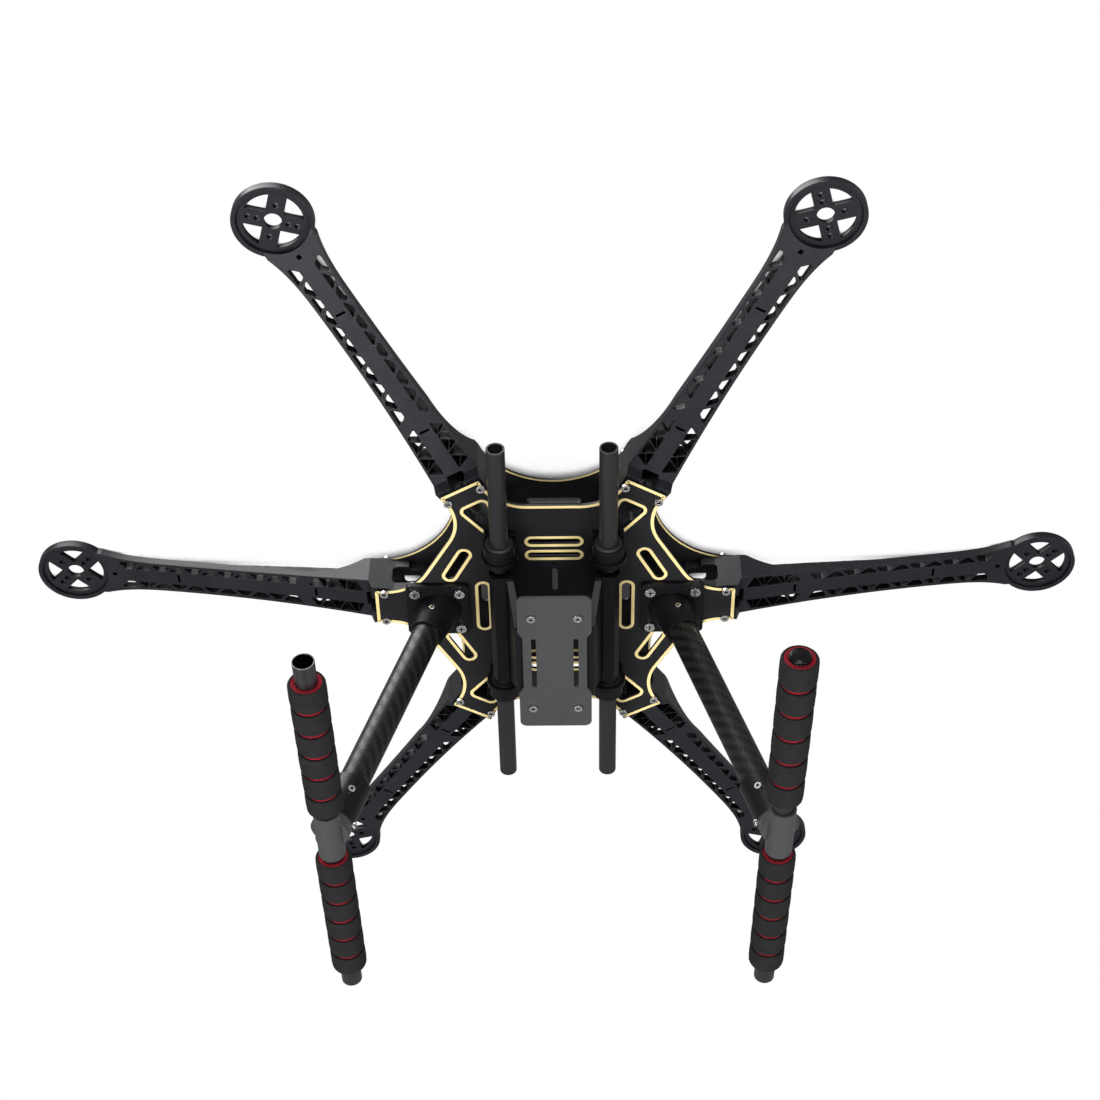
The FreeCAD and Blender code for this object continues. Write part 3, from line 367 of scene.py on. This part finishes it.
def piece(name, mesh, material, body):
    """New Blender piece that rides on a body."""
    mesh.materials.append(material)
    made = bpy.data.objects.new(name, mesh)
    bpy.context.scene.collection.objects.link(made)
    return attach(made, body)


def lathe(name, profile, centre, direction, pits):
    """Closed ring turned from a closed profile of (along, radius) points, with a pitted skin."""
    side = direction.orthogonal().normalized()
    other = direction.cross(side)
    shape = bmesh.new()
    rings = []
    for index in range(SLEEVE_FACETS):
        angle = 2 * math.pi * index / SLEEVE_FACETS
        outward = side * math.cos(angle) + other * math.sin(angle)
        ring = []
        for along, radius in profile:
            place = centre + direction * along + outward * radius
            pit = noise.noise(place * COARSE_GRAIN) + 0.5 * noise.noise(place * FINE_GRAIN)
            ring.append(shape.verts.new(place + outward * pit * pits))
        rings.append(ring)
    count = len(profile)
    for index in range(SLEEVE_FACETS):
        here = rings[index]
        following = rings[(index + 1) % SLEEVE_FACETS]
        for step in range(count):
            after = (step + 1) % count
            shape.faces.new((here[step], here[after], following[after], following[step]))
    bmesh.ops.recalc_face_normals(shape, faces=shape.faces)
    for face in shape.faces:
        face.smooth = True
    return finished(shape, name)


def sleeve_profile(start, end, inner, outer, first_corner, last_corner, steps):
    """Closed profile of a sleeve with rounded outer corners and a slightly crowned skin."""
    profile = [(start, inner), (start, outer - first_corner)]
    for step in range(1, 6):
        angle = math.radians(18 * step)
        along = start + first_corner * (1 - math.cos(angle))
        profile.append((along, outer - first_corner * (1 - math.sin(angle))))
    for step in range(1, steps):
        share = step / steps
        along = start + first_corner + (end - start - first_corner - last_corner) * share
        profile.append((along, outer + SKIN_CROWN * math.sin(math.pi * share)))
    for step in range(0, 5):
        angle = math.radians(90 - 18 * step)
        along = end - last_corner * (1 - math.cos(angle))
        profile.append((along, outer - last_corner * (1 - math.sin(angle))))
    return profile + [(end, outer - last_corner), (end, inner)]


# ---------------------------------------------------------------- gold edge lines

def flat_loops(name, level, up):
    """Edges of a plate's flat face at a level, as loops with the board on their left seen from +Z."""
    follow = {}
    edges = {}  # a dict and not a set, because it keeps its order
    mesh = nodes[name].data
    places = [(round(vertex.co.x, 6), round(vertex.co.y, 6)) for vertex in mesh.vertices]
    for polygon in mesh.polygons:
        if abs(polygon.center.z - level) > LEVEL_TOLERANCE or polygon.normal.z * up < 0.9:
            continue
        corners = [places[index] for index in polygon.vertices]
        if up < 0:
            corners.reverse()
        for start, end in zip(corners, corners[1:] + corners[:1]):
            edges[(start, end)] = True
    for start, end in edges:
        if (end, start) not in edges and start != end:
            follow[start] = end
    loops = []
    while follow:
        start, here = follow.popitem()
        loop = [start]
        while here != start and here in follow:
            loop.append(here)
            here = follow.pop(here)
        loops.append(loop)
    return loops


def thinned(loop, least):
    """Loop without points closer together than least."""
    kept = [loop[0]]
    for point in loop[1:]:
        if math.dist(point, kept[-1]) > least:
            kept.append(point)
    if math.dist(kept[-1], kept[0]) <= least:
        kept.pop()
    return kept


def inward(loop, distance):
    """Loop moved to its left by a distance, with mitred corners."""
    moved = []
    for index, point in enumerate(loop):
        before = Vector(point) - Vector(loop[index - 1])
        after = Vector(loop[(index + 1) % len(loop)]) - Vector(point)
        first = Vector((-before.y, before.x)).normalized()
        second = Vector((-after.y, after.x)).normalized()
        bisector = (first + second).normalized()
        moved.append(Vector(point) + bisector * distance / max(0.5, bisector.dot(first)))
    return moved


def gold_lines(name, node, level, up, material):
    """Bare gold-plated tracks along a plate's outline and its larger openings."""
    width, narrowest = TRACKS[node]
    section = (
        (TRACK_INSET, -TRACK_SINK),
        (TRACK_INSET, TRACK_RISE),
        (width, TRACK_RISE),
        (width, -TRACK_SINK),
    )
    shape = bmesh.new()
    for loop in flat_loops(node, level, up):
        loop = thinned(loop, CLOSEST_POINTS)
        spread = np.ptp(np.array(loop), axis=0)
        if len(loop) < 4 or min(spread) < narrowest:
            continue
        rows = []
        for distance, height in section:
            z = level + up * height
            rows.append([shape.verts.new((p.x, p.y, z)) for p in inward(loop, distance)])
        for row in range(4):
            lower = rows[row]
            upper = rows[(row + 1) % 4]
            for index in range(len(loop)):
                after = (index + 1) % len(loop)
                shape.faces.new((lower[index], lower[after], upper[after], upper[index]))
    bmesh.ops.recalc_face_normals(shape, faces=shape.faces)
    piece(name, finished(shape, name), material, "frame")


# ---------------------------------------------------------------- foam sleeves

def foam_sleeve(end, side, charcoal, red):
    """Charcoal bands over a red inner layer, in the place of the CAD's plain ones."""
    core = f"foam_core_{end}_{side}"
    bands = f"foam_bands_{end}_{side}"
    body = f"leg_{side}"
    direction = axis_of(f"skid_tube_{side}")[1]
    centre = axis_of(core)[0]
    along, around = round_sizes(core, centre, direction)
    inner, outer = around.min(), around.max()
    profile = sleeve_profile(along.min(), along.max(), inner, outer, CORE_CORNER, CORE_CORNER, 60)
    mesh = lathe(core, profile, centre, direction, CORE_PITS)
    made = piece(f"foam_inner_{end}_{side}", mesh, red, body)
    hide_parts(core)
    along, around = round_sizes(bands, centre, direction)
    inner, outer = around.min(), around.max()
    stops = sorted(set(round(value, 5) for value in along))
    edges = [value for index, value in enumerate(stops) if index == 0 or value - stops[index - 1] > 0.5 * MM]
    spans = list(zip(edges[::2], edges[1::2]))
    for index, (low, high) in enumerate(spans):
        first = SLEEVE_END_CORNER if index == 0 else BAND_CORNER
        last = SLEEVE_END_CORNER if index == len(spans) - 1 else BAND_CORNER
        profile = sleeve_profile(low, high, inner, outer, first, last, 18)
        mesh = lathe(bands, profile, centre, direction, BAND_PITS)
        made = piece(f"foam_band_{end}_{side}_{index + 1}", mesh, charcoal, body)
        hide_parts(bands)


# ---------------------------------------------------------------- dressing the CAD nodes

def dress(name, material):
    """Gives a CAD node its material."""
    mesh = nodes[name].data
    mesh.materials.clear()
    mesh.materials.append(material)


def dress_all():
    """Materials of every CAD node that stays."""
    nylon = moulded("nylon", (0.006, 0.0065, 0.009), (0.013, 0.014, 0.018), 0.34, 0.32)
    plastic = moulded("moulded_plastic", (0.002, 0.002, 0.003), (0.005, 0.005, 0.007), 0.42, 0.22)
    board_black = board("board_black", (0.005, 0.005, 0.006), (0.010, 0.010, 0.012))
    tray_grey = board("tray_grey", (0.042, 0.043, 0.045), (0.057, 0.058, 0.060))
    steel = plated("screw_steel", (0.80, 0.79, 0.77), (0.98, 0.97, 0.95), 0.24)
    rail = drawn_metal("rail_anodised", (0.035, 0.035, 0.038), (0.065, 0.065, 0.07), 0.34, 0.7)
    tube = drawn_metal("tube_anodised", (0.10, 0.10, 0.103), (0.17, 0.17, 0.174), 0.30)
    black_rubber = rubber("rubber")
    by_slot = {
        "nylon_black": nylon,
        "board_black": board_black,
        "tray_grey": tray_grey,
        "moulded_black": plastic,
        "tube_grey": tube,
        "rail_grey": rail,
        "screw_steel": steel,
        "rubber_black": black_rubber,
    }
    for row in frame["record"]["subparts"]:
        if row["material_slot"] in by_slot:
            dress(row["node"], by_slot[row["material_slot"]])
    for side in SIDES:
        centre, direction = axis_of(f"leg_tube_{side}")
        radius = round_sizes(f"leg_tube_{side}", centre, direction)[1].max()
        dress(f"leg_tube_{side}", carbon(f"carbon_{side}", centre, direction, radius))
        foot = axis_of(f"skid_tube_{side}")[0]
        dress(f"tee_{side}", tee_metal(f"tee_metal_{side}", foot, direction))
    dress("skid_end_cap", moulded("cap_gloss", (0.001, 0.001, 0.0015), (0.003, 0.003, 0.004), 0.17, 0.35))


def dress_plates():
    """Gold tracks on both faces of both plates."""
    gold = plated("edge_gold", (0.84, 0.65, 0.27), (0.95, 0.79, 0.40), 0.36, 0.1)
    for name in TRACKS:
        low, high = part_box(name)
        gold_lines(f"{name}_track_under", name, low.z, -1, gold)
        gold_lines(f"{name}_track_top", name, high.z, 1, gold)


def dress_foam():
    """The four foam sleeves."""
    charcoal = foam("foam_charcoal", (0.007, 0.0065, 0.007), (0.018, 0.0175, 0.018))
    red = foam("foam_red", (0.17, 0.004, 0.010), (0.27, 0.008, 0.018))
    for side in SIDES:
        for end in ENDS:
            foam_sleeve(end, side, charcoal, red)


# ---------------------------------------------------------------- studio

def one_sided(graph, surface):
    """Shows a surface to the camera from its front only; light and everything else passes through."""
    path = graph.add("ShaderNodeLightPath")
    faces = graph.add("ShaderNodeNewGeometry")
    front = graph.math("SUBTRACT", 1.0, faces.outputs["Backfacing"])
    shown = graph.math("MULTIPLY", path.outputs["Is Camera Ray"], front)
    clear = graph.add("ShaderNodeBsdfTransparent")
    mix = graph.add("ShaderNodeMixShader")
    graph.link(shown, mix.inputs[0])
    graph.link(clear.outputs[0], mix.inputs[1])
    graph.link(surface, mix.inputs[2])
    graph.link(mix.outputs[0], graph.tree.nodes["Material Output"].inputs["Surface"])
    return graph.material


def plane(name, level, facing, material):
    """Large stage plane at a level; facing is +1 for a floor and -1 for a surface seen from below."""
    shape = bmesh.new()
    bmesh.ops.create_grid(shape, x_segments=1, y_segments=1, size=STAGE_HALF)
    if facing < 0:
        bmesh.ops.reverse_faces(shape, faces=shape.faces)
    mesh = finished(shape, name)
    mesh.materials.append(material)
    made = bpy.data.objects.new(name, mesh)
    made.location.z = level
    bpy.context.scene.collection.objects.link(made)


def make_floor():
    """Pale floor under the skids, seen from above only, so that a camera below sees the frame."""
    graph = Graph("floor")
    cloud = graph.noise(4.0, 2.0)
    graph.finish(graph.blend(cloud, (0.76, 0.76, 0.76), (0.80, 0.80, 0.80)), 0.7)
    plane("floor", cad_box[0].z - FLOOR_GAP, 1, one_sided(graph, graph.shader.outputs[0]))


def make_backdrop():
    """White glowing sheet just above the motor discs, seen from below only, with painted shadow: grey where
    the frame is near it.
    """
    graph = Graph("backdrop")
    # Painted shadow: the glow dims where the frame crowds the sheet.
    clear = graph.share(graph.openness(BACKDROP_SHADE_REACH, 24), 0.15, 0.32, "LINEAR")
    glow = graph.add("ShaderNodeEmission")
    graph.link(graph.spread(clear, 0.04, 1.0), glow.inputs["Strength"])
    plane("backdrop", cad_box[1].z + BACKDROP_GAP, -1, one_sided(graph, glow.outputs[0]))


def make_world():
    """White surround: full white to the camera, much dimmer as light."""
    world = bpy.data.worlds.new("studio")
    bpy.context.scene.world = world
    world.use_nodes = True
    tree = world.node_tree
    back = tree.nodes["Background"]
    path = tree.nodes.new("ShaderNodeLightPath")
    strength = tree.nodes.new("ShaderNodeMapRange")
    strength.inputs["To Min"].default_value = WORLD_LIGHT
    strength.inputs["To Max"].default_value = 1.0
    tree.links.new(path.outputs["Is Camera Ray"], strength.inputs["Value"])
    tree.links.new(strength.outputs["Result"], back.inputs["Strength"])
    back.inputs["Color"].default_value = (1, 1, 1, 1)


def soft_light(name, place, target, width, power):
    """Square soft box aimed at a point."""
    data = bpy.data.lights.new(name, "AREA")
    data.size = width
    data.energy = power
    lamp = bpy.data.objects.new(name, data)
    lamp.location = place
    lamp.rotation_euler = (Vector(target) - Vector(place)).to_track_quat("-Z", "Y").to_euler()
    bpy.context.scene.collection.objects.link(lamp)


def make_camera():
    """Camera below the nose, looking up at the underside."""
    azimuth, elevation, roll = (math.radians(angle) for angle in CAMERA_ANGLES)
    back = Vector((
        math.sin(azimuth) * math.cos(elevation),
        -math.cos(azimuth) * math.cos(elevation),
        math.sin(elevation),
    ))
    up = Vector((
        -math.sin(azimuth) * math.sin(elevation),
        math.cos(azimuth) * math.sin(elevation),
        math.cos(elevation),
    ))
    right = up.cross(back)
    level = right * math.cos(roll) + up * math.sin(roll)
    upright = up * math.cos(roll) - right * math.sin(roll)
    turn = Matrix((level, upright, back)).transposed().to_4x4()
    data = bpy.data.cameras.new("camera")
    data.lens = LENS_MM
    data.sensor_width = SENSOR_MM
    data.clip_start = 0.01
    camera = bpy.data.objects.new("camera", data)
    camera.matrix_world = Matrix.Translation(CAMERA_PLACE) @ turn
    bpy.context.scene.collection.objects.link(camera)
    bpy.context.scene.camera = camera


dress_all()
dress_plates()
dress_foam()
make_floor()
make_backdrop()
make_world()
hub = (0, 0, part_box("lower_plate")[0].z)
soft_light("below_left", (-0.8, 0.0, -1.1), hub, 0.5, 17.0)
soft_light("below_right", (0.8, 0.0, -1.0), hub, 0.5, 11.0)
soft_light("nose", (0.0, -1.1, -0.5), hub, 0.5, 9.0)
soft_light("above", (-0.6, -0.7, 1.5), hub, 1.2, 28.0)
make_camera()
bpy.context.scene.view_settings.view_transform = "Standard"
